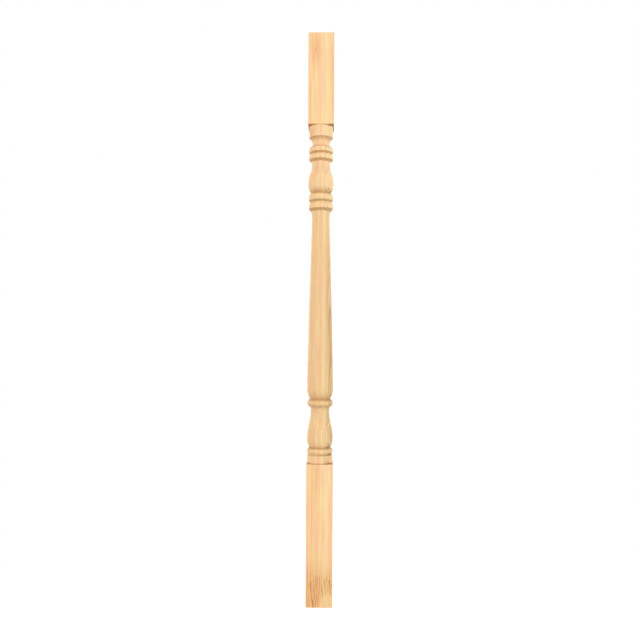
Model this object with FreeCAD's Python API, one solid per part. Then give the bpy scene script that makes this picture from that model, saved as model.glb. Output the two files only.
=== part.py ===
import FreeCAD, Part
import math
import os

# A turned stair baluster: one square pine blank, left square at both ends and turned between them.
# Millimetres, +Z up the baluster, origin at the middle of the sawn foot.

# The square blank
LENGTH = 900.0
BLANK_WIDTH = 41.0
ARRIS_RADIUS = 0.6
FOOT_BLOCK_LENGTH = 218.4
HEAD_BLOCK_LENGTH = 147.1

# Marks of the lathe's two centres in the sawn ends
CENTRE_MARK_DIAMETER = 5.0
CENTRE_MARK_DEPTH = 4.3

# Every height below runs up the axis, and every depth is cut in from the blank's flat faces.

# Foot collar, with a corner cut against the shoulder and a fine V groove above it
FOOT_COLLAR_HEIGHT = 12.4
FOOT_COLLAR_DEPTH = 0.9
CORNER_CUT_HEIGHT = 1.0
CORNER_CUT_DEPTH = 1.9
V_GROOVE_HEIGHT = 1.9
V_GROOVE_DEPTH = 2.9

# Foot bead, and the sharp quirk between it and the lower vase
FOOT_BEAD_HEIGHT = 9.5
FOOT_BEAD_CREST = 4.8
FOOT_BEAD_BASE_DEPTH = 1.9
FOOT_BEAD_DEPTH = 0.4
FOOT_BEAD_TOP_DEPTH = 3.4
FOOT_QUIRK_HEIGHT = 1.6
FOOT_QUIRK_DEPTH = 4.5

# Lower vase: a rounded bottom, a level belly and a long ogee to the neck
LOWER_VASE_BASE_DEPTH = 3.4
LOWER_VASE_BOTTOM = 11.4
LOWER_VASE_BELLY = 1.2
LOWER_VASE_OGEE = 45.4
LOWER_VASE_DEPTH = 0.5
LOWER_NECK_DEPTH = 6.1
LOWER_NECK_FLARE_HEIGHT = 5.2
LOWER_NECK_FLARE = 2.9

# Ring bead between the lower vase and the shaft, and the sharp quirk above it
RING_BEAD_HEIGHT = 11.2
RING_BEAD_CREST = 5.2
RING_BEAD_DEPTH = 0.35
RING_BEAD_TOP_DEPTH = 4.1
RING_QUIRK_HEIGHT = 1.6
RING_QUIRK_DEPTH = 5.0

# Long shaft: a rounded foot, a parallel land, a taper in two straight runs and a small flare at the top.
# The taper takes whatever length the other turnings leave, and its upper run is a little the steeper.
SHAFT_BASE_DEPTH = 4.3
SHAFT_FOOT_HEIGHT = 14.2
SHAFT_LAND_HEIGHT = 11.6
SHAFT_DEPTH = 0.2
SHAFT_BEND_SHARE = 0.41
SHAFT_BEND_DEPTH = 2.4
SHAFT_TOP_DEPTH = 6.5
SHAFT_FLARE_HEIGHT = 14.1
SHAFT_FLARE = 1.3

# Pair of beads under the upper vase: each has a steep underside, a crisp lip and a round face
FIRST_UNDERSIDE_HEIGHT = 4.3
FIRST_LIP_DEPTH = 1.15
FIRST_BEAD_HEIGHT = 10.4
FIRST_BEAD_CREST = 2.0
FIRST_BEAD_DEPTH = 1.05
FIRST_BEAD_TOP_DEPTH = 3.3
FIRST_QUIRK_HEIGHT = 0.6
FIRST_QUIRK_DEPTH = 4.1
SECOND_UNDERSIDE_HEIGHT = 2.6
SECOND_LIP_DEPTH = 1.45
SECOND_BEAD_HEIGHT = 11.0
SECOND_BEAD_CREST = 4.0
SECOND_BEAD_DEPTH = 1.0
SECOND_BEAD_TOP_DEPTH = 4.6
UPPER_VASE_QUIRK_HEIGHT = 1.4
UPPER_VASE_QUIRK_DEPTH = 5.6

# Upper vase
UPPER_VASE_BASE_DEPTH = 4.9
UPPER_VASE_BOTTOM = 12.0
UPPER_VASE_BELLY = 3.2
UPPER_VASE_OGEE = 30.0
UPPER_VASE_DEPTH = 0.25
UPPER_NECK_DEPTH = 5.9
UPPER_NECK_FLARE_HEIGHT = 4.1
UPPER_NECK_FLARE = 0.6

# Pair of beads over the upper vase, shaped as the pair under it
THIRD_UNDERSIDE_HEIGHT = 3.9
THIRD_LIP_DEPTH = 1.25
THIRD_BEAD_HEIGHT = 8.7
THIRD_BEAD_CREST = 2.6
THIRD_BEAD_DEPTH = 1.1
THIRD_BEAD_TOP_DEPTH = 3.0
THIRD_QUIRK_HEIGHT = 0.7
THIRD_QUIRK_DEPTH = 4.2
TOP_UNDERSIDE_HEIGHT = 2.3
TOP_LIP_DEPTH = 1.45
TOP_BEAD_HEIGHT = 9.0
TOP_BEAD_CREST = 4.2
TOP_BEAD_DEPTH = 1.1

# Cove over the top bead, which flares out to the crisp lip of the head collar
COVE_FLOOR_HEIGHT = 2.8
COVE_FLARE_HEIGHT = 11.9
COVE_DEPTH = 7.1
HEAD_COLLAR_HEIGHT = 17.7
HEAD_COLLAR_DEPTH = 1.65


class TurnedOutline:
    """The half section of the turning, drawn upwards as a chain of lines and arcs from the foot shoulder."""

    def __init__(self, height, depth):
        self.edges = []
        self.height = height
        self.radius = BLANK_WIDTH / 2 - depth

    def point(self, height, radius):
        return FreeCAD.Vector(radius, 0, height)

    def line_to(self, rise, depth):
        """A straight stretch: a land, a wall or the side of a V."""
        height = self.height + rise
        radius = BLANK_WIDTH / 2 - depth
        start = self.point(self.height, self.radius)
        self.edges.append(Part.LineSegment(start, self.point(height, radius)).toShape())
        self.height = height
        self.radius = radius

    def arc_through(self, rise, depth, bulge):
        """An arc whose middle stands off its chord, outwards where bulge is positive."""
        height = self.height + rise
        radius = BLANK_WIDTH / 2 - depth
        chord = math.hypot(rise, radius - self.radius)
        middle = self.point(
            (self.height + height) / 2 + bulge * (self.radius - radius) / chord,
            (self.radius + radius) / 2 + bulge * rise / chord,
        )
        start = self.point(self.height, self.radius)
        self.edges.append(Part.Arc(start, middle, self.point(height, radius)).toShape())
        self.height = height
        self.radius = radius

    def bulge_level_at_one_end(self, rise, step):
        """How far the middle of an arc stands off its chord where one end of the arc runs level with the axis."""
        chord = math.hypot(rise, step)
        quarter_turn = math.atan2(step, rise) / 2
        return chord / 2 * math.tan(quarter_turn)

    def swell_to(self, rise, depth):
        """A convex arc out to a crest, where it runs level; past a quarter circle it starts with a plain wall."""
        step = BLANK_WIDTH / 2 - depth - self.radius
        if step > rise:
            self.line_to(0, depth + rise)
            step = rise
        self.arc_through(rise, depth, self.bulge_level_at_one_end(rise, step))

    def round_in_to(self, rise, depth):
        """A convex arc from a crest in to a quirk; past a quarter circle it ends with a plain wall."""
        step = self.radius - (BLANK_WIDTH / 2 - depth)
        arc_step = min(step, rise)
        crest_depth = BLANK_WIDTH / 2 - self.radius
        self.arc_through(rise, crest_depth + arc_step, self.bulge_level_at_one_end(rise, arc_step))
        if step > arc_step:
            self.line_to(0, depth)

    def hollow_to(self, rise, depth):
        """A concave arc that starts level with the axis and flares outwards."""
        step = BLANK_WIDTH / 2 - depth - self.radius
        self.arc_through(rise, depth, -self.bulge_level_at_one_end(rise, step))

    def v_cut(self, height, depth, far_depth):
        """The V that a knife's corner cuts, its sharp bottom half way up."""
        self.line_to(height / 2, depth)
        self.line_to(height / 2, far_depth)

    def ogee_in_to(self, rise, depth):
        """A convex arc and then a concave one, level with the axis where they start and end."""
        neck = BLANK_WIDTH / 2 - depth
        turn_depth = BLANK_WIDTH / 2 - (self.radius + neck) / 2
        bulge = self.bulge_level_at_one_end(rise / 2, (self.radius - neck) / 2)
        self.arc_through(rise / 2, turn_depth, bulge)
        self.arc_through(rise / 2, depth, -bulge)


def shaft_taper_height():
    """The taper's length: the blank less its square ends and the other turnings."""
    others = (
        FOOT_COLLAR_HEIGHT, V_GROOVE_HEIGHT, FOOT_BEAD_HEIGHT, FOOT_QUIRK_HEIGHT,
        LOWER_VASE_BOTTOM, LOWER_VASE_BELLY, LOWER_VASE_OGEE, LOWER_NECK_FLARE_HEIGHT,
        RING_BEAD_HEIGHT, RING_QUIRK_HEIGHT,
        SHAFT_FOOT_HEIGHT, SHAFT_LAND_HEIGHT, SHAFT_FLARE_HEIGHT,
        FIRST_UNDERSIDE_HEIGHT, FIRST_BEAD_HEIGHT, FIRST_QUIRK_HEIGHT,
        SECOND_UNDERSIDE_HEIGHT, SECOND_BEAD_HEIGHT, UPPER_VASE_QUIRK_HEIGHT,
        UPPER_VASE_BOTTOM, UPPER_VASE_BELLY, UPPER_VASE_OGEE, UPPER_NECK_FLARE_HEIGHT,
        THIRD_UNDERSIDE_HEIGHT, THIRD_BEAD_HEIGHT, THIRD_QUIRK_HEIGHT,
        TOP_UNDERSIDE_HEIGHT, TOP_BEAD_HEIGHT,
        COVE_FLOOR_HEIGHT, COVE_FLARE_HEIGHT, HEAD_COLLAR_HEIGHT,
    )
    return LENGTH - FOOT_BLOCK_LENGTH - HEAD_BLOCK_LENGTH - sum(others)


def turned_outline():
    """The turning's half section, from the foot shoulder up to the head shoulder."""
    outline = TurnedOutline(FOOT_BLOCK_LENGTH, CORNER_CUT_DEPTH)

    # Foot collar, V groove, foot bead and foot quirk
    outline.line_to(CORNER_CUT_HEIGHT, FOOT_COLLAR_DEPTH)
    outline.line_to(FOOT_COLLAR_HEIGHT - CORNER_CUT_HEIGHT, FOOT_COLLAR_DEPTH)
    outline.v_cut(V_GROOVE_HEIGHT, V_GROOVE_DEPTH, FOOT_BEAD_BASE_DEPTH)
    outline.swell_to(FOOT_BEAD_CREST, FOOT_BEAD_DEPTH)
    outline.round_in_to(FOOT_BEAD_HEIGHT - FOOT_BEAD_CREST, FOOT_BEAD_TOP_DEPTH)
    outline.v_cut(FOOT_QUIRK_HEIGHT, FOOT_QUIRK_DEPTH, LOWER_VASE_BASE_DEPTH)

    # Lower vase
    outline.swell_to(LOWER_VASE_BOTTOM, LOWER_VASE_DEPTH)
    outline.line_to(LOWER_VASE_BELLY, LOWER_VASE_DEPTH)
    outline.ogee_in_to(LOWER_VASE_OGEE, LOWER_NECK_DEPTH)
    outline.hollow_to(LOWER_NECK_FLARE_HEIGHT, LOWER_NECK_DEPTH - LOWER_NECK_FLARE)

    # Ring bead and its quirk
    outline.swell_to(RING_BEAD_CREST, RING_BEAD_DEPTH)
    outline.round_in_to(RING_BEAD_HEIGHT - RING_BEAD_CREST, RING_BEAD_TOP_DEPTH)
    outline.v_cut(RING_QUIRK_HEIGHT, RING_QUIRK_DEPTH, SHAFT_BASE_DEPTH)

    # Long shaft
    outline.swell_to(SHAFT_FOOT_HEIGHT, SHAFT_DEPTH)
    outline.line_to(SHAFT_LAND_HEIGHT, SHAFT_DEPTH)
    taper = shaft_taper_height()
    outline.line_to(SHAFT_BEND_SHARE * taper, SHAFT_BEND_DEPTH)
    outline.line_to((1 - SHAFT_BEND_SHARE) * taper, SHAFT_TOP_DEPTH)
    outline.hollow_to(SHAFT_FLARE_HEIGHT, SHAFT_TOP_DEPTH - SHAFT_FLARE)

    # Pair of beads under the upper vase
    outline.line_to(FIRST_UNDERSIDE_HEIGHT, FIRST_LIP_DEPTH)
    outline.swell_to(FIRST_BEAD_CREST, FIRST_BEAD_DEPTH)
    outline.round_in_to(FIRST_BEAD_HEIGHT - FIRST_BEAD_CREST, FIRST_BEAD_TOP_DEPTH)
    outline.line_to(FIRST_QUIRK_HEIGHT, FIRST_QUIRK_DEPTH)
    outline.line_to(SECOND_UNDERSIDE_HEIGHT, SECOND_LIP_DEPTH)
    outline.swell_to(SECOND_BEAD_CREST, SECOND_BEAD_DEPTH)
    outline.round_in_to(SECOND_BEAD_HEIGHT - SECOND_BEAD_CREST, SECOND_BEAD_TOP_DEPTH)
    outline.v_cut(UPPER_VASE_QUIRK_HEIGHT, UPPER_VASE_QUIRK_DEPTH, UPPER_VASE_BASE_DEPTH)

    # Upper vase
    outline.swell_to(UPPER_VASE_BOTTOM, UPPER_VASE_DEPTH)
    outline.line_to(UPPER_VASE_BELLY, UPPER_VASE_DEPTH)
    outline.ogee_in_to(UPPER_VASE_OGEE, UPPER_NECK_DEPTH)
    outline.hollow_to(UPPER_NECK_FLARE_HEIGHT, UPPER_NECK_DEPTH - UPPER_NECK_FLARE)

    # Pair of beads over the upper vase
    outline.line_to(THIRD_UNDERSIDE_HEIGHT, THIRD_LIP_DEPTH)
    outline.swell_to(THIRD_BEAD_CREST, THIRD_BEAD_DEPTH)
    outline.round_in_to(THIRD_BEAD_HEIGHT - THIRD_BEAD_CREST, THIRD_BEAD_TOP_DEPTH)
    outline.line_to(THIRD_QUIRK_HEIGHT, THIRD_QUIRK_DEPTH)
    outline.line_to(TOP_UNDERSIDE_HEIGHT, TOP_LIP_DEPTH)
    outline.swell_to(TOP_BEAD_CREST, TOP_BEAD_DEPTH)
    outline.round_in_to(TOP_BEAD_HEIGHT - TOP_BEAD_CREST, COVE_DEPTH)

    # Cove and head collar
    outline.line_to(COVE_FLOOR_HEIGHT, COVE_DEPTH)
    outline.hollow_to(COVE_FLARE_HEIGHT, HEAD_COLLAR_DEPTH)
    outline.line_to(HEAD_COLLAR_HEIGHT, HEAD_COLLAR_DEPTH)
    return outline


def square_blank():
    """The planed blank, with its four long arrises eased."""
    corner = FreeCAD.Vector(-BLANK_WIDTH / 2, -BLANK_WIDTH / 2, 0)
    blank = Part.makeBox(BLANK_WIDTH, BLANK_WIDTH, LENGTH, corner)
    arrises = [edge for edge in blank.Edges if abs(edge.BoundBox.ZLength - LENGTH) < 1e-6]
    return blank.makeFillet(ARRIS_RADIUS, arrises)


def turning_waste():
    """The ring of wood that the lathe takes off between the two flat shoulders."""
    outline = turned_outline()
    clear_of_corners = BLANK_WIDTH
    foot_shoulder = outline.edges[0].Vertexes[0].Point
    head_shoulder = outline.point(outline.height, outline.radius)
    outside = Part.makePolygon([
        head_shoulder,
        outline.point(outline.height, clear_of_corners),
        outline.point(FOOT_BLOCK_LENGTH, clear_of_corners),
        foot_shoulder,
    ])
    section = Part.Face(Part.Wire(outline.edges + outside.Edges))
    return section.revolve(FreeCAD.Vector(0, 0, 0), FreeCAD.Vector(0, 0, 1), 360)


def centre_mark(height, inwards):
    """The cone that a lathe centre presses into a sawn end."""
    return Part.makeCone(
        CENTRE_MARK_DIAMETER / 2, 0, CENTRE_MARK_DEPTH,
        FreeCAD.Vector(0, 0, height), FreeCAD.Vector(0, 0, inwards),
    )


os.makedirs("parts", exist_ok=True)

baluster = square_blank().cut(turning_waste())
baluster = baluster.cut([centre_mark(0, 1), centre_mark(LENGTH, -1)])
baluster = baluster.removeSplitter().Solids[0]
baluster.exportStep("parts/baluster.step")
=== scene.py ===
import math

import bmesh
import bpy
from mathutils import Matrix, Vector


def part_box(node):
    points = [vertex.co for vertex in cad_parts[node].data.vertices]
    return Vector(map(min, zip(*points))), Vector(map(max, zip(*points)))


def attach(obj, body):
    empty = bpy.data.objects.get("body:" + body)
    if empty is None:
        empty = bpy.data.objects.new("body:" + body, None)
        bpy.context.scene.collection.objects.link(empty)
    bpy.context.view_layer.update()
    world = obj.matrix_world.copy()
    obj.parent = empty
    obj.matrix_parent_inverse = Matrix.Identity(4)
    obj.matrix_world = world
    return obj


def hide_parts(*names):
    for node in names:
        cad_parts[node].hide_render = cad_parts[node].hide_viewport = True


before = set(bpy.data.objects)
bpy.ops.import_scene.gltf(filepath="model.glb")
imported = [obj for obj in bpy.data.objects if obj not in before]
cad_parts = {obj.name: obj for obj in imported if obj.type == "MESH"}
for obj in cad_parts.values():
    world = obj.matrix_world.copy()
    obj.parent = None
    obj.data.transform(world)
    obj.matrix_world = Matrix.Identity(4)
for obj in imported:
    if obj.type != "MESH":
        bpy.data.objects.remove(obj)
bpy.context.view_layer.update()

# The baluster: one blank of pine, planed square and turned between two flat shoulders on a copying lathe.
# A shaped knife cut the beads, vases and coves across the grain, and sanding took off the tool marks.
# Its two sawn ends keep the marks of the lathe's centres.

# Sizes are in millimetres: heights run up the axis, and depths are cut in from the planed faces
low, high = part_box("baluster")
length = (high.z - low.z) * 1000
half_width = (high.x - low.x) * 500
arris_radius = 0.6
foot_block = 218.4
head_block = 147.1
head_shoulder = length - head_block
centre_mark_radius = 2.5
centre_mark_depth = 4.3
steps_round = 192
arc_step = 0.7
torn_step = 0.4

# Points closer than a hair are one point, and slack allows for rounding
hair = 0.001
slack = 0.01

wood = bmesh.new()


class Outline:
    """The end of the half section, which is drawn upwards from the foot's centre mark."""

    end = wood.verts.new((0, 0, centre_mark_depth))


def line_to(rise, depth, pieces=1):
    """A straight stretch: a land, a wall or the side of a groove."""
    start = Outline.end.co.copy()
    finish = Vector((half_width - depth, 0, start.z + rise))
    for piece in range(1, pieces + 1):
        drawn = bmesh.ops.extrude_vert_indiv(wood, verts=[Outline.end])
        Outline.end = drawn["verts"][0]
        Outline.end.co = start.lerp(finish, piece / pieces)


def arc_about(height, radius, angle, step=arc_step):
    """An arc of the outline about a centre in its own plane."""
    reach = (Outline.end.co - Vector((radius, 0, height))).length
    drawn = bmesh.ops.spin(
        wood, geom=[Outline.end], cent=(radius, 0, height), axis=(0, 1, 0), dvec=(0, 0, 0),
        angle=angle, steps=max(4, math.ceil(reach * abs(angle) / step)), use_merge=False,
    )
    Outline.end = drawn["geom_last"][0]


def bend_over(rise, inset):
    """The radius of an arc that is level with the axis at one end and is set in or out at the other."""
    return (rise * rise + inset * inset) / (2 * inset)


def swell_to(rise, depth, step=arc_step):
    """A round that comes out to a crest, where it runs level with the axis."""
    inset = half_width - depth - Outline.end.co.x
    if inset > rise:
        line_to(0, depth + rise)
        inset = rise
    bend = bend_over(rise, inset)
    arc_about(Outline.end.co.z + rise, half_width - depth - bend, -math.atan2(rise, bend - inset), step)


def round_in_to(rise, depth):
    """A round that goes in from a crest to a quirk."""
    crest = Outline.end.co.copy()
    inset = min(crest.x - (half_width - depth), rise)
    bend = bend_over(rise, inset)
    arc_about(crest.z, crest.x - bend, -math.atan2(rise, bend - inset))


def hollow_to(rise, depth):
    """A hollow that starts level with the axis and flares out."""
    start = Outline.end.co.copy()
    inset = half_width - depth - start.x
    bend = bend_over(rise, inset)
    arc_about(start.z, start.x + bend, math.atan2(rise, bend - inset))


def bead(crest, depth, height, top_depth):
    """A round that swells to its crest and goes in again above it."""
    swell_to(crest, depth)
    round_in_to(height - crest, top_depth)


def quirk(height, depth, top_depth):
    """A sharp nick between two turnings."""
    line_to(height / 2, depth, pieces=2)
    line_to(height / 2, top_depth)


def vase(bottom, belly, ogee, depth, neck_depth):
    """A rounded bottom, drawn finer for its torn grain, a level belly and an ogee that goes in to a neck."""
    swell_to(bottom, depth, torn_step)
    line_to(belly, depth, pieces=round(belly))
    widest = Outline.end.co.copy()
    inset = (neck_depth - depth) / 2
    bend = bend_over(ogee / 2, inset)
    sweep = math.atan2(ogee / 2, bend - inset)
    arc_about(widest.z, widest.x - bend, -sweep)
    arc_about(widest.z + ogee, half_width - neck_depth + bend, sweep)


# Foot block: the centre mark, the sawn end and the planed side
line_to(-centre_mark_depth, half_width - centre_mark_radius, pieces=3)
line_to(0, 0, pieces=4)
line_to(foot_block, 0)

# Foot collar, with a corner cut against the flat shoulder and a fine V groove over it
corner_cut = 1.0
foot_collar = 12.4
foot_collar_depth = 0.9
groove_height = 1.9
v_groove = foot_block + foot_collar + groove_height / 2
line_to(rise=0, depth=1.9)
line_to(corner_cut, foot_collar_depth)
line_to(foot_collar - corner_cut, foot_collar_depth, pieces=6)
line_to(groove_height / 2, depth=2.9, pieces=3)
line_to(groove_height / 2, depth=1.9, pieces=2)

# Foot bead, lower vase and ring bead, with sharp quirks between them
bead(crest=4.8, depth=0.4, height=9.5, top_depth=3.4)
quirk(height=1.6, depth=4.5, top_depth=3.4)
vase(bottom=11.4, belly=1.2, ogee=45.4, depth=0.5, neck_depth=6.1)
hollow_to(rise=5.2, depth=3.2)
bead(crest=5.2, depth=0.35, height=11.2, top_depth=4.1)
quirk(height=1.6, depth=5.0, top_depth=4.3)

# Long shaft: a rounded foot, a parallel land, a taper in two straight runs and a flare at its top.
# The taper takes the length that the turnings below it and above it leave.
shaft_depth = 0.2
turnings_over_taper = 150.7
lower_run = 0.41
swell_to(rise=14.2, depth=shaft_depth)
line_to(rise=11.6, depth=shaft_depth, pieces=6)
taper = head_shoulder - turnings_over_taper - Outline.end.co.z
line_to(lower_run * taper, depth=2.4, pieces=24)
line_to((1 - lower_run) * taper, depth=6.5, pieces=36)
hollow_to(rise=14.1, depth=5.2)

# Pair of beads under the upper vase: each has a steep underside, a crisp lip and a round face
line_to(rise=4.3, depth=1.15, pieces=5)
bead(crest=2.0, depth=1.05, height=10.4, top_depth=3.3)
line_to(rise=0.6, depth=4.1, pieces=2)
line_to(rise=2.6, depth=1.45, pieces=4)
bead(crest=4.0, depth=1.0, height=11.0, top_depth=4.6)
quirk(height=1.4, depth=5.6, top_depth=4.9)

# Upper vase
vase(bottom=12.0, belly=3.2, ogee=30.0, depth=0.25, neck_depth=5.9)
hollow_to(rise=4.1, depth=5.3)

# Pair of beads over the upper vase, and the cove that flares out to the crisp lip of the head collar
cove_depth = 7.1
head_collar_depth = 1.65
line_to(rise=3.9, depth=1.25, pieces=5)
bead(crest=2.6, depth=1.1, height=8.7, top_depth=3.0)
line_to(rise=0.7, depth=4.2, pieces=2)
line_to(rise=2.3, depth=1.45, pieces=4)
bead(crest=4.2, depth=1.1, height=9.0, top_depth=cove_depth)
line_to(rise=2.8, depth=cove_depth)
hollow_to(rise=11.9, depth=head_collar_depth)
line_to(head_shoulder - Outline.end.co.z, head_collar_depth, pieces=10)

# Head block: the flat shoulder, the planed side, the sawn end and its centre mark
line_to(0, 0)
line_to(length - Outline.end.co.z, 0)
line_to(0, half_width - centre_mark_radius, pieces=4)
line_to(-centre_mark_depth, half_width, pieces=3)

bmesh.ops.spin(
    wood, geom=wood.verts[:] + wood.edges[:], cent=(0, 0, 0), axis=(0, 0, 1), dvec=(0, 0, 0),
    angle=math.tau, steps=steps_round, use_merge=True,
)
bmesh.ops.remove_doubles(wood, verts=wood.verts, dist=hair)
bmesh.ops.recalc_face_normals(wood, faces=wood.faces)

# The lathe never reached the two blocks, so the rims of their ends and shoulders go out to the square.
# Five sixths of the steps along each side are spent on its flat, and the rest on the rounded arrises.
flat = half_width - arris_radius
flat_share = 5 / 6


def square_side(turn):
    """A point on the planed square, at a share of the way round it."""
    side = round(turn * 4)
    along = (turn * 4 - side) * 2
    if abs(along) <= flat_share:
        point = Vector((half_width, flat * along / flat_share, 0))
    else:
        bend = (abs(along) - flat_share) / (1 - flat_share) * math.pi / 4
        point = Vector((flat + arris_radius * math.cos(bend), flat + arris_radius * math.sin(bend), 0))
        point.y = math.copysign(point.y, along)
    return Matrix.Rotation(side * math.pi / 2, 3, "Z") @ point


for vert in wood.verts:
    in_block = vert.co.z < foot_block + slack or vert.co.z > head_shoulder - slack
    if in_block and vert.co.xy.length > half_width - slack:
        square = square_side(math.atan2(vert.co.y, vert.co.x) / math.tau)
        vert.co.x = square.x
        vert.co.y = square.y


def on_rim(vert):
    """Whether a point lies on the planed square at one of the blocks' ends or shoulders."""
    at_level = min(abs(vert.co.z - level) for level in (0, foot_block, head_shoulder, length)) < hair
    on_flat = max(abs(vert.co.x), abs(vert.co.y)) > half_width - slack
    return at_level and (on_flat or vert.co.xy.length > math.hypot(flat, flat))


# Saw and knife leave these edges crisp, with the sharpness just rubbed off
rubbed_edge = 0.25
rims = [
    edge for edge in wood.edges
    if abs(edge.verts[0].co.z - edge.verts[1].co.z) < hair and all(on_rim(vert) for vert in edge.verts)
]
bmesh.ops.bevel(
    wood, geom=rims, offset=rubbed_edge, offset_type="OFFSET", affect="EDGES",
    segments=2, profile=0.5, material=-1,
)

# Torn grain: where the knife met rising fibres at the bottoms of the vases, small chips came out.
# Each has a height and a half height, and a bearing from the front and a half width in degrees.
chips = [
    (233.2, 0.9, 55, 9),
    (244.3, 1.0, 52, 9),
    (247.3, 0.9, 51, 3.5),
    (250.4, 0.8, 42, 2.5),
    (253.5, 0.8, 61, 3),
    (644.8, 1.0, 60, 6),
    (647.3, 0.9, 66, 4),
    (650.5, 0.8, 42, 3),
]
chip_depth = 0.55
chip_edge = 1.6

# Fibres also bridge the V groove at the right of the front, so it is cut through only between them,
# and the groove is shallower at the left. The cut-through gaps are painted darker as shade.
bridged_from = 1
bridged_to = 13
first_bridge = 4.06
bridge_spacing = 3.13
bridge_height = 1.6
groove_gap_shade = 0.6
left_fill = 0.6
left_ease = 5

# Points near the axis lie on the sawn ends, where no knife came
sawn_core = 10
torn_and_shade = wood.verts.layers.float.new("torn_and_shade")
turned = wood.verts.layers.float.new("turned")
for vert in wood.verts:
    radius = vert.co.xy.length
    if radius < sawn_core:
        continue
    vert[turned] = foot_block - slack < vert.co.z < head_shoulder + slack
    outward = Vector((vert.co.x, vert.co.y, 0)) / radius
    angle = math.degrees(math.atan2(vert.co.x, -vert.co.y))
    for height, spread, bearing, width in chips:
        near = math.exp(-((vert.co.z - height) / spread) ** 2 - ((angle - bearing) / width) ** 2)
        vert[torn_and_shade] = max(vert[torn_and_shade], min(1, near * chip_edge))
    vert.co -= outward * chip_depth * vert[torn_and_shade]
    in_groove = 1 - abs(vert.co.z - v_groove) / (groove_height / 2)
    if in_groove > 0 and abs(angle) < 90:
        if bridged_from < vert.co.x < bridged_to:
            bridge = 2 * math.cos(math.tau * (vert.co.x - first_bridge) / bridge_spacing)
            # Painted shade in the gaps where the groove is cut through, kept in the same layer as the chips
            vert[torn_and_shade] = max(vert[torn_and_shade], groove_gap_shade * in_groove * max(0, min(1, -bridge)))
            vert.co += outward * bridge_height * in_groove * max(0, min(1, bridge))
        elif vert.co.x < bridged_from:
            vert.co += outward * left_fill * in_groove * min(1, (bridged_from - vert.co.x) / left_ease)

bmesh.ops.scale(wood, vec=(0.001, 0.001, 0.001), verts=wood.verts)
crisp = math.radians(13)
for face in wood.faces:
    face.smooth = True
for edge in wood.edges:
    edge.smooth = edge.calc_face_angle(0) < crisp
baluster_mesh = bpy.data.meshes.new("baluster_turned")
wood.to_mesh(baluster_mesh)
wood.free()
baluster = bpy.data.objects.new("baluster_turned", baluster_mesh)
bpy.context.collection.objects.link(baluster)


def linear(hex_colour):
    """A colour written as sRGB hex, in linear light."""
    parts = [int(hex_colour[digit:digit + 2], 16) / 255 for digit in (1, 3, 5)]
    return [part / 12.92 if part <= 0.04045 else ((part + 0.055) / 1.055) ** 2.4 for part in parts] + [1]


def add(tree, kind, settings):
    """Adds a node: a setting is a property, a socket's value, or a node or output to link to the socket."""
    made = tree.nodes.new("ShaderNode" + kind)
    for name, value in settings.items():
        if isinstance(value, bpy.types.Node):
            value = next(output for output in value.outputs if output.enabled)
        if isinstance(value, bpy.types.NodeSocket):
            tree.links.new(value, made.inputs[name])
        elif hasattr(made, str(name)):
            setattr(made, name, value)
        else:
            made.inputs[name].default_value = value
    return made


# Scots pine, planed and turned and left bare: pale straw earlywood, thin amber latewood that ends sharply
# each year, and long fine fibres. It is matt, with a faint sheen on the latewood, and darker where the cut
# crosses the fibres, partly its own colour and partly painted shade on faces that turn up or down.
pine = bpy.data.materials.new("scots_pine_bare")
pine.use_nodes = True
tree = pine.node_tree
tree.nodes.clear()

# What most of its nodes do: work with two values, lay a colour over another, or wash it with a tint, which
# is a stain in most places and painted shade in some
plus = {"operation": "ADD"}
minus = {"operation": "SUBTRACT"}
times = {"operation": "MULTIPLY"}
over = {"operation": "DIVIDE"}
size_of = {"operation": "ABSOLUTE"}
lay = {"data_type": "RGBA"}
wash = {"data_type": "RGBA", "blend_type": "MULTIPLY"}


def streaks(spot, across, along):
    """Noise in streaks of a size in millimetres across and along the grain."""
    spread = add(tree, "VectorMath", {**over, 0: spot, 1: (across, across, along)})
    return add(tree, "TexNoise", {"Vector": spread, "Scale": 1, "Detail": 2})


def away(spot, middle, reach):
    """How far a spot lies from the middle of a stain, as a share of the stain's reach along each axis."""
    apart = add(tree, "VectorMath", {**minus, 0: spot, 1: middle})
    apart = add(tree, "VectorMath", {**over, 0: apart, 1: reach})
    return add(tree, "VectorMath", {"operation": "LENGTH", 0: apart})


# Places in millimetres on the baluster as it stands
surface = add(tree, "TexCoord", {})
grain = add(tree, "VectorMath", {"operation": "SCALE", 0: surface.outputs["Object"], "Scale": 1000})
place = add(tree, "SeparateXYZ", {0: grain})
place_y = place.outputs["Y"]
place_z = place.outputs["Z"]

# Slow wander of the growth rings, about 60 mm across the trunk and 260 mm along it
wander_reach = 9
half = (0.5, 0.5, 0.5)
wander = streaks(grain, across=60, along=260).outputs["Color"]
wander = add(tree, "VectorMath", {**minus, 0: wander, 1: half})
wander = add(tree, "VectorMath", {**times, 0: wander, 1: (wander_reach, wander_reach, 0)})
wander = add(tree, "VectorMath", {**plus, 0: wander, 1: grain})

# A knot just under the foot turns the fibres aside over the last 62 mm and makes them wavy there
knot_reach = 62
foot_lean = -5
wave_reach = 4
near_knot = add(tree, "MapRange", {"Value": place_z, "From Min": knot_reach, "From Max": 0})
lean = add(tree, "Math", {"operation": "POWER", 0: near_knot, 1: 2})
lean = add(tree, "Math", {**times, 0: lean, 1: foot_lean})
lean = add(tree, "CombineXYZ", {"X": lean})
waves = streaks(grain, across=11, along=16).outputs["Color"]
waves = add(tree, "VectorMath", {**minus, 0: waves, 1: half})
waves = add(tree, "VectorMath", {**times, 0: waves, 1: (wave_reach, wave_reach, 0)})
waves = add(tree, "VectorMath", {"operation": "SCALE", 0: waves, "Scale": near_knot})
fibre = add(tree, "VectorMath", {**plus, 0: wander, 1: lean})
fibre = add(tree, "VectorMath", {**plus, 0: fibre, 1: waves})

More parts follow.
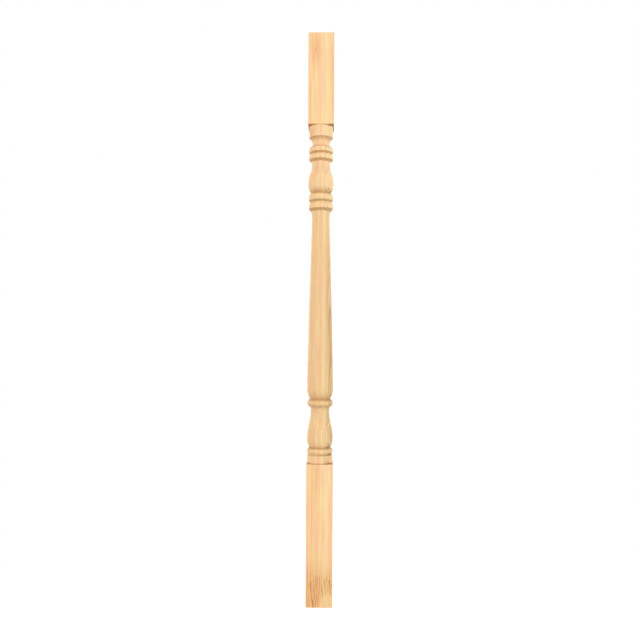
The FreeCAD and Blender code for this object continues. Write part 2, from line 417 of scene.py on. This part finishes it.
# The heart of the tree lay outside the blank, behind it and to its left, a little out of line with it
blank_from_heart = (68, -31, 0)
out_of_line = (math.radians(0.4), math.radians(-0.3), 0)
trunk = add(tree, "Mapping", {"Vector": fibre, "Location": blank_from_heart, "Rotation": out_of_line})
trunk = add(tree, "VectorMath", {**times, 0: trunk, 1: (1, 1, 0)})
from_heart = add(tree, "VectorMath", {"operation": "LENGTH", 0: trunk})

# Grain shows less on the planed blocks than on the turned part
turned_part = add(tree, "Attribute", {"attribute_name": "turned"}).outputs["Fac"]
planed_part = add(tree, "MapRange", {"Value": turned_part, "To Min": 1, "To Max": 0})
shown = add(tree, "MapRange", {"Value": turned_part, "To Min": 0.68, "To Max": 1})

# Years of wide and narrow growth, 3.1 mm a ring on average, in spells of about 11 mm.
# Each year has a tone and a strength of its own.
ring_width = 3.1
spell = 11
spell_swing = 2.4
first_year = 7
growth = add(tree, "Math", {**over, 0: from_heart, 1: spell})
growth = add(tree, "TexNoise", {"noise_dimensions": "1D", "W": growth, "Scale": 1, "Detail": 1})
growth = add(tree, "Math", {**times, 0: growth, 1: spell_swing})
ring = add(tree, "Math", {**over, 0: from_heart, 1: ring_width})
ring = add(tree, "Math", {**plus, 0: ring, 1: growth})
season = add(tree, "Math", {"operation": "FRACT", 0: ring})
year = add(tree, "Math", {**plus, 0: ring, 1: first_year})
year = add(tree, "Math", {"operation": "FLOOR", 0: year})
year = add(tree, "TexWhiteNoise", {"noise_dimensions": "1D", "W": year})
year = add(tree, "SeparateColor", {0: year.outputs["Color"]})

# Latewood comes slowly over the second half of a year and stops short at its end
latewood = add(tree, "ValToRGB", {"Fac": season})
ramp = latewood.color_ramp
ramp.elements[0].color = (0, 0, 0, 1)
ramp.elements[1].color = (0, 0, 0, 1)
for position, level in ((0.5, 0.1), (0.78, 0.5), (0.91, 1), (0.95, 0.9)):
    ramp.elements.new(position).color = (level, level, level, 1)
strength = add(tree, "MapRange", {"Value": year.outputs["Red"], "To Min": 0.35, "To Max": 1})
outer_years = add(tree, "MapRange", {
    "Value": from_heart, "From Min": 90, "From Max": 95, "To Min": 1, "To Max": 0.5,
})
strength = add(tree, "Math", {**times, 0: strength, 1: outer_years})
latewood = add(tree, "Math", {**times, 0: latewood, 1: strength})

# It is fainter on the right of the upper vase, on the head collar and in one streak up the head block
quiet_spots = [
    ((15, -12, 668), (14, 16, 30)),
    ((2, -18, 743), (18, 9, 14)),
    ((-9, -half_width, 795), (4, 6, 50)),
]
for middle, reach in quiet_spots:
    quiet = away(grain, middle, reach)
    quiet = add(tree, "MapRange", {
        "Value": quiet, "From Min": 0.6, "From Max": 1.2, "To Min": 0.3, "To Max": 1,
    })
    latewood = add(tree, "Math", {**times, 0: latewood, 1: quiet})

# Fibres: fine ones 0.35 mm wide and 40 mm long, short flecks where the knife cut them, and broader streaks
fine = streaks(fibre, across=0.35, along=40)
fleck = streaks(fibre, across=1.2, along=26)
streak = streaks(fibre, across=2.2, along=130)

# Earlywood is peach near the heart and straw further out, and drifts between a yellower and a pinker tone
tone = add(tree, "Math", {**times, 0: year.outputs["Green"], 1: 0.08})
tone = add(tree, "Math", {**plus, 0: streaks(fibre, across=5, along=60), 1: tone})
tone = add(tree, "MapRange", {"Value": tone, "From Min": 0.38, "From Max": 0.7})
inner = add(tree, "Mix", {**lay, 0: tone, 6: linear("#FFDCA1"), 7: linear("#FFCA9E")})
outer = add(tree, "Mix", {**lay, 0: tone, 6: linear("#FFE4A8"), 7: linear("#FFD3A7")})
further = add(tree, "MapRange", {"Value": from_heart, "From Min": 82, "From Max": 89})
colour = add(tree, "Mix", {**lay, 0: further, 6: inner, 7: outer})
furthest = add(tree, "MapRange", {"Value": from_heart, "From Min": 95, "From Max": 101})
colour = add(tree, "Mix", {**wash, 0: furthest, 6: colour, 7: linear("#FDF3F0")})

# Amber latewood over it, broken along the broader streaks
amber = add(tree, "MapRange", {
    "Value": streak, "From Min": 0.3, "From Max": 0.7, "To Min": 0.5, "To Max": 0.9,
})
amber = add(tree, "Math", {**times, 0: latewood, 1: amber})
amber = add(tree, "Math", {**times, 0: amber, 1: shown})
colour = add(tree, "Mix", {**lay, 0: amber, 6: colour, 7: linear("#D9974F")})

# Some years show more plainly over a stretch: distance from the heart, height and half the stretch's length
plain_years = [(90.6, 470, 66), (91.7, 440, 36), (93, 378, 28), (91.5, 283, 14), (72.3, 790, 42)]
for reach, height, stretch in plain_years:
    thin = add(tree, "Math", {**minus, 0: from_heart, 1: reach})
    thin = add(tree, "Math", {**size_of, 0: thin})
    thin = add(tree, "MapRange", {"Value": thin, "From Min": 0.32, "From Max": 0.06})
    tall = add(tree, "Math", {**minus, 0: place_z, 1: height})
    tall = add(tree, "Math", {**size_of, 0: tall})
    tall = add(tree, "MapRange", {
        "Value": tall, "From Min": stretch, "From Max": stretch / 2, "To Max": 0.6,
    })
    marked = add(tree, "Math", {**times, 0: thin, 1: tall})
    colour = add(tree, "Mix", {**lay, 0: marked, 6: colour, 7: linear("#C8904E")})

# The fibres and flecks, and each year as a whole, are a shade lighter or darker
fine_shade = add(tree, "MapRange", {
    "Value": fine, "From Min": 0.25, "From Max": 0.75, "To Min": 0.94, "To Max": 1.05,
})
fleck_shade = add(tree, "MapRange", {
    "Value": fleck, "From Min": 0.3, "From Max": 0.7, "To Min": 0.95, "To Max": 1.03,
})
year_shade = add(tree, "MapRange", {"Value": year.outputs["Blue"], "To Min": 0.95, "To Max": 1.01})
shade = add(tree, "Math", {**times, 0: fine_shade, 1: fleck_shade})
shade = add(tree, "Math", {**times, 0: shade, 1: year_shade})
colour = add(tree, "Mix", {**wash, 0: shown, 6: colour, 7: shade})

# Turned wood is a shade duller than planed wood, most of all on the shaft and the lower vase,
# and resin darkens the right of the shaft
shaft_middle = 425
from_shaft = add(tree, "Math", {**minus, 0: place_z, 1: shaft_middle})
from_shaft = add(tree, "Math", {**size_of, 0: from_shaft})
dull = add(tree, "MapRange", {"Value": from_shaft, "From Min": 270, "From Max": 120})
dull = add(tree, "Math", {**times, 0: turned_part, 1: dull})
resinous = away(fibre, (20, -5, 370), (13, 24, 170))
resinous = add(tree, "MapRange", {"Value": resinous, "From Min": 1.1, "From Max": 0.5})
resinous = add(tree, "Math", {**times, 0: turned_part, 1: resinous})
for part, wash_tone in ((dull, "#F4F4EC"), (planed_part, "#FCFBFA"), (resinous, "#E6DDD0")):
    colour = add(tree, "Mix", {**wash, 0: part, 6: colour, 7: linear(wash_tone)})

# The wood by the knot is dense and amber, but for one smooth pale patch at the right
foot_end = add(tree, "MapRange", {"Value": place_z, "From Min": 80, "From Max": 42})
front = add(tree, "MapRange", {"Value": place_y, "From Min": 10, "From Max": -16})
by_knot = add(tree, "Math", {**times, 0: foot_end, 1: front})
patch = away(grain, (13, -20, 4), (15, 15, 18))
dense = add(tree, "MapRange", {
    "Value": patch, "From Min": 0.7, "From Max": 1.05, "To Min": 0.35, "To Max": 1,
})
dense = add(tree, "Math", {**times, 0: by_knot, 1: dense})
colour = add(tree, "Mix", {**wash, 0: dense, 6: colour, 7: linear("#F4E7D5")})

# Dark lines of crowded rings run down to the knot, 3.7 mm apart, wavy and broken
line_spacing = 3.7
line_wander = 9
line_strength = 0.85
lines = add(tree, "VectorMath", {"operation": "DOT_PRODUCT", 0: fibre, 1: (1, 0.7, 0)})
lines = add(tree, "Math", {**times, 0: lines, 1: math.tau / line_spacing})
bends = add(tree, "Math", {**times, 0: streaks(fibre, across=6, along=34), 1: line_wander})
lines = add(tree, "Math", {**plus, 0: lines, 1: bends})
lines = add(tree, "Math", {"operation": "SINE", 0: lines})
lines = add(tree, "MapRange", {"Value": lines, "From Min": 0.3, "From Max": 0.95})
broken = streaks(fibre, across=4, along=12)
broken = add(tree, "MapRange", {"Value": broken, "From Min": 0.36, "From Max": 0.58})
low_down = add(tree, "MapRange", {"Value": place_z, "From Min": 60, "From Max": 46})
off_patch = add(tree, "MapRange", {
    "Value": patch, "From Min": 0.75, "From Max": 1.15, "To Min": 0.1, "To Max": 1,
})
for share in (broken, by_knot, low_down, off_patch, line_strength):
    lines = add(tree, "Math", {**times, 0: lines, 1: share})
colour = add(tree, "Mix", {**lay, 0: lines, 6: colour, 7: linear("#A06A34")})

# The knife rubbed the foot's collar and bead on their right. The corner under them on the right is painted
# shade, darker as if in the collar's shadow.
# The second entry is painted shade in the corner under the collar
for height, tall, wash_tone in ((231, 19, "#F8F2F8"), (219, 4.5, "#E2D6C6")):
    rubbed_and_shaded = away(grain, (12, -15, height), (9, 9, tall))
    rubbed_and_shaded = add(tree, "MapRange", {"Value": rubbed_and_shaded, "From Min": 1.1, "From Max": 0.4})
    rubbed_and_shaded = add(tree, "Math", {**times, 0: turned_part, 1: rubbed_and_shaded})
    colour = add(tree, "Mix", {**wash, 0: rubbed_and_shaded, 6: colour, 7: linear(wash_tone)})

# Soft stains on the front, each with its middle, its reach and its tone. Two of them are painted shade on
# the right edge of the lower vase, darker where it turns from the light.
stains_and_painted_shade = [
    # Painted shade: the right edge of the lower vase, darker where it turns from the light
    ((20, -8, 262), (6, 9, 14), "#E6D9C6"),
    ((11, -10, 545), (7, 9, 60), "#FFF5EE"),
    ((18, -half_width, 830), (8, 8, 80), "#FDF6EC"),
    ((-16, -9, 743), (7, 9, 12), "#F5F0E9"),
    ((-15, -10, 262), (7, 9, 22), "#FBF9EF"),
    ((-5, -half_width, 190), (8, 8, 34), "#FDF7EE"),
    ((-5, -half_width, 22), (8, 8, 26), "#FAF4E8"),
    ((0, -half_width, 112), (30, 12, 50), "#FFFAF8"),
    ((14, -half_width, 8), (12, 8, 14), "#FBFAF7"),
    ((16, -10, 743), (6, 9, 12), "#FBF8F3"),
    ((2, -18, 268), (16, 10, 22), "#FCFAFA"),
    # Painted shade: a grey on the right edge of the lower vase's neck, where it turns from the light
    ((13, -7, 295), (5, 8, 9), "#F6F8FD"),
    ((0, -18, 672), (20, 12, 20), "#FCFBFC"),
]
for middle, reach, wash_tone in stains_and_painted_shade:
    stained_and_shaded = add(tree, "MapRange", {"Value": away(grain, middle, reach), "From Min": 1.2, "From Max": 0.4})
    colour = add(tree, "Mix", {**wash, 0: stained_and_shaded, 6: colour, 7: linear(wash_tone)})

# One thin streak of resin in the front of the head block, which has soaked a little into the wood round it
soaked = away(grain, (-8, -half_width, 875), (10, 8, 32))
soaked = add(tree, "MapRange", {"Value": soaked, "From Min": 1.2, "From Max": 0.3})
colour = add(tree, "Mix", {**wash, 0: soaked, 6: colour, 7: linear("#F8EFE4")})
resin = away(grain, (-9.2, -half_width, 871), (0.8, 3, 7))
resin = add(tree, "MapRange", {"Value": resin, "From Min": 1, "From Max": 0.4, "To Max": 0.5})
colour = add(tree, "Mix", {**lay, 0: resin, 6: colour, 7: linear("#B07A45")})

# The cut across the fibres drinks the light: sawn ends, shoulders and the steep sides of beads are darker,
# partly the end grain's own colour and partly painted shade on faces that turn up or down. The flare under
# the ring bead
# is left out of it and stays pale: painted light, as from the white floor below.
painted_lit_flare = 303
facing = add(tree, "SeparateXYZ", {0: surface.outputs["Normal"]})
steep = add(tree, "Math", {**size_of, 0: facing.outputs["Z"]})
across = add(tree, "MapRange", {"Value": steep, "From Min": 0.3, "From Max": 0.72})
off_flare = add(tree, "Math", {**minus, 0: place_z, 1: painted_lit_flare})
off_flare = add(tree, "Math", {**size_of, 0: off_flare})
off_flare = add(tree, "MapRange", {"Value": off_flare, "From Min": 6, "From Max": 9})
across = add(tree, "Math", {**times, 0: across, 1: off_flare})
colour = add(tree, "Mix", {**wash, 0: across, 6: colour, 7: linear("#E2D9CB")})

# The rings are darkest on the sawn ends
sawn_strength = 0.6
sawn = add(tree, "MapRange", {"Value": steep, "From Min": 0.9, "From Max": 0.98})
for share in (planed_part, latewood, sawn_strength):
    sawn = add(tree, "Math", {**times, 0: sawn, 1: share})
colour = add(tree, "Mix", {**lay, 0: sawn, 6: colour, 7: linear("#9C6A38")})

# Torn fibres look brown, because light is caught between them. In the cut-through gaps of the V groove the
# same brown is painted shade.
chipped_and_shaded = add(tree, "Attribute", {"attribute_name": "torn_and_shade"}).outputs["Fac"]
colour = add(tree, "Mix", {**lay, 0: chipped_and_shaded, 6: colour, 7: linear("#9A6B3C")})

# Latewood stands 0.04 mm proud after sanding, and the fibres are felt between the rings
latewood_height = 0.04
fibre_height = 0.03
proud = add(tree, "Math", {**times, 0: latewood, 1: latewood_height})
felt = add(tree, "Math", {**times, 0: fine, 1: fibre_height})
relief = add(tree, "Math", {**plus, 0: proud, 1: felt})
relief = add(tree, "Bump", {"Strength": 1, "Distance": 0.001, "Height": relief})
sheen = add(tree, "MapRange", {"Value": latewood, "To Min": 0.62, "To Max": 0.5})
skin = add(tree, "BsdfPrincipled", {"IOR": 1.5, "Base Color": colour, "Roughness": sheen, "Normal": relief})
add(tree, "OutputMaterial", {"Surface": skin})
baluster_mesh.materials.append(pine)

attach(baluster, "root")
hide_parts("baluster")

# The studio: a white paper floor, a white room, four soft lamps round the baluster and one above it.
# The floor is white to the eye and keeps a faint shadow at the foot, and the room lights every side.

white = (1, 1, 1, 1)


def background_rays(tree):
    """One for rays that show the white background: to the eye, in a mirror or through glass."""
    ray = add(tree, "LightPath", {})
    seen = ray.outputs["Is Camera Ray"]
    for kind in ("Is Glossy Ray", "Is Transmission Ray"):
        seen = add(tree, "Math", {"operation": "MAXIMUM", 0: seen, 1: ray.outputs[kind]})
    return seen


world = bpy.data.worlds.new("white_room")
bpy.context.scene.world = world
world.use_nodes = True
tree = world.node_tree
tree.nodes.clear()
level = add(tree, "MapRange", {"Value": background_rays(tree), "To Min": 0.2, "To Max": 1})
room = add(tree, "Background", {"Color": white, "Strength": level})
add(tree, "OutputWorld", {"Surface": room})

# White paper: matt round the foot, where it takes the shadow, and it fades into the white of the room
paper = bpy.data.materials.new("white_paper")
paper.use_nodes = True
tree = paper.node_tree
tree.nodes.clear()
seen = background_rays(tree)
matt = add(tree, "BsdfDiffuse", {"Color": linear("#A0A0A0")})
glow = add(tree, "Math", {**times, 0: seen, 1: 0.92})
glow = add(tree, "Emission", {"Color": white, "Strength": glow})
near = add(tree, "AddShader", {0: matt, 1: glow})
far = add(tree, "MapRange", {"Value": seen, "To Min": 0.3, "To Max": 1})
far = add(tree, "Emission", {"Color": white, "Strength": far})
from_foot = add(tree, "TexCoord", {}).outputs["Object"]
from_foot = add(tree, "VectorMath", {"operation": "LENGTH", 0: from_foot})
fade = add(tree, "MapRange", {"Value": from_foot, "From Min": 0.1, "From Max": 0.6})
blend = add(tree, "MixShader", {0: fade, 1: near, 2: far})
add(tree, "OutputMaterial", {"Surface": blend})

sheet = bmesh.new()
bmesh.ops.create_circle(sheet, cap_ends=True, segments=96, radius=6)
floor_mesh = bpy.data.meshes.new("floor")
sheet.to_mesh(floor_mesh)
sheet.free()
floor = bpy.data.objects.new("floor", floor_mesh)
floor_mesh.materials.append(paper)
bpy.context.collection.objects.link(floor)

# Lamps, all at one distance: bearing from the front, how far up, width and height of the panel, and power
half_way_up = Vector((0, 0, 0.45))
lamp_distance = 5
lamps = [
    ("lamp_front_right", 54, 8, 2.4, 1.6, 182),
    ("lamp_front_left", -56, 3, 2.4, 0.8, 164),
    ("lamp_top", -60, 80, 2, 2, 70),
    ("lamp_back_right", 140, 8, 1.6, 1.6, 34),
    ("lamp_back_left", -140, 8, 1.6, 1.6, 34),
]
for name, bearing, up, width, tall, power in lamps:
    lamp = bpy.data.lights.new(name, "AREA")
    lamp.shape = "RECTANGLE"
    lamp.size = width
    lamp.size_y = tall
    lamp.energy = power
    stand = bpy.data.objects.new(name, lamp)
    stand.matrix_world = (
        Matrix.Translation(half_way_up)
        @ Matrix.Rotation(math.radians(bearing), 4, "Z")
        @ Matrix.Rotation(math.radians(90 - up), 4, "X")
        @ Matrix.Translation((0, 0, lamp_distance))
    )
    stand.visible_camera = False
    bpy.context.collection.objects.link(stand)

# The camera: 1.13 m in front of the axis and 396 mm above the foot, tipped up a little and not quite level
eye_distance = 1.131
eye_height = 0.3964
eye_bearing = math.radians(1.0)
pan = math.radians(0.028)
tilt = math.radians(2.378)
roll = math.radians(0.26)
picture_width = 640
focal_length = 711.7
sensor_width = 36
lens = bpy.data.cameras.new("camera")
lens.sensor_width = sensor_width
lens.lens = focal_length / picture_width * sensor_width
camera = bpy.data.objects.new("camera", lens)
bpy.context.collection.objects.link(camera)
bpy.context.scene.camera = camera
eye_right = eye_distance * math.sin(eye_bearing)
eye_front = -eye_distance * math.cos(eye_bearing)
camera.matrix_world = (
    Matrix.Translation((eye_right, eye_front, eye_height))
    @ Matrix.Rotation(eye_bearing + pan, 4, "Z")
    @ Matrix.Rotation(math.pi / 2 + tilt, 4, "X")
    @ Matrix.Rotation(roll, 4, "Z")
)

bpy.context.scene.view_settings.view_transform = "Standard"
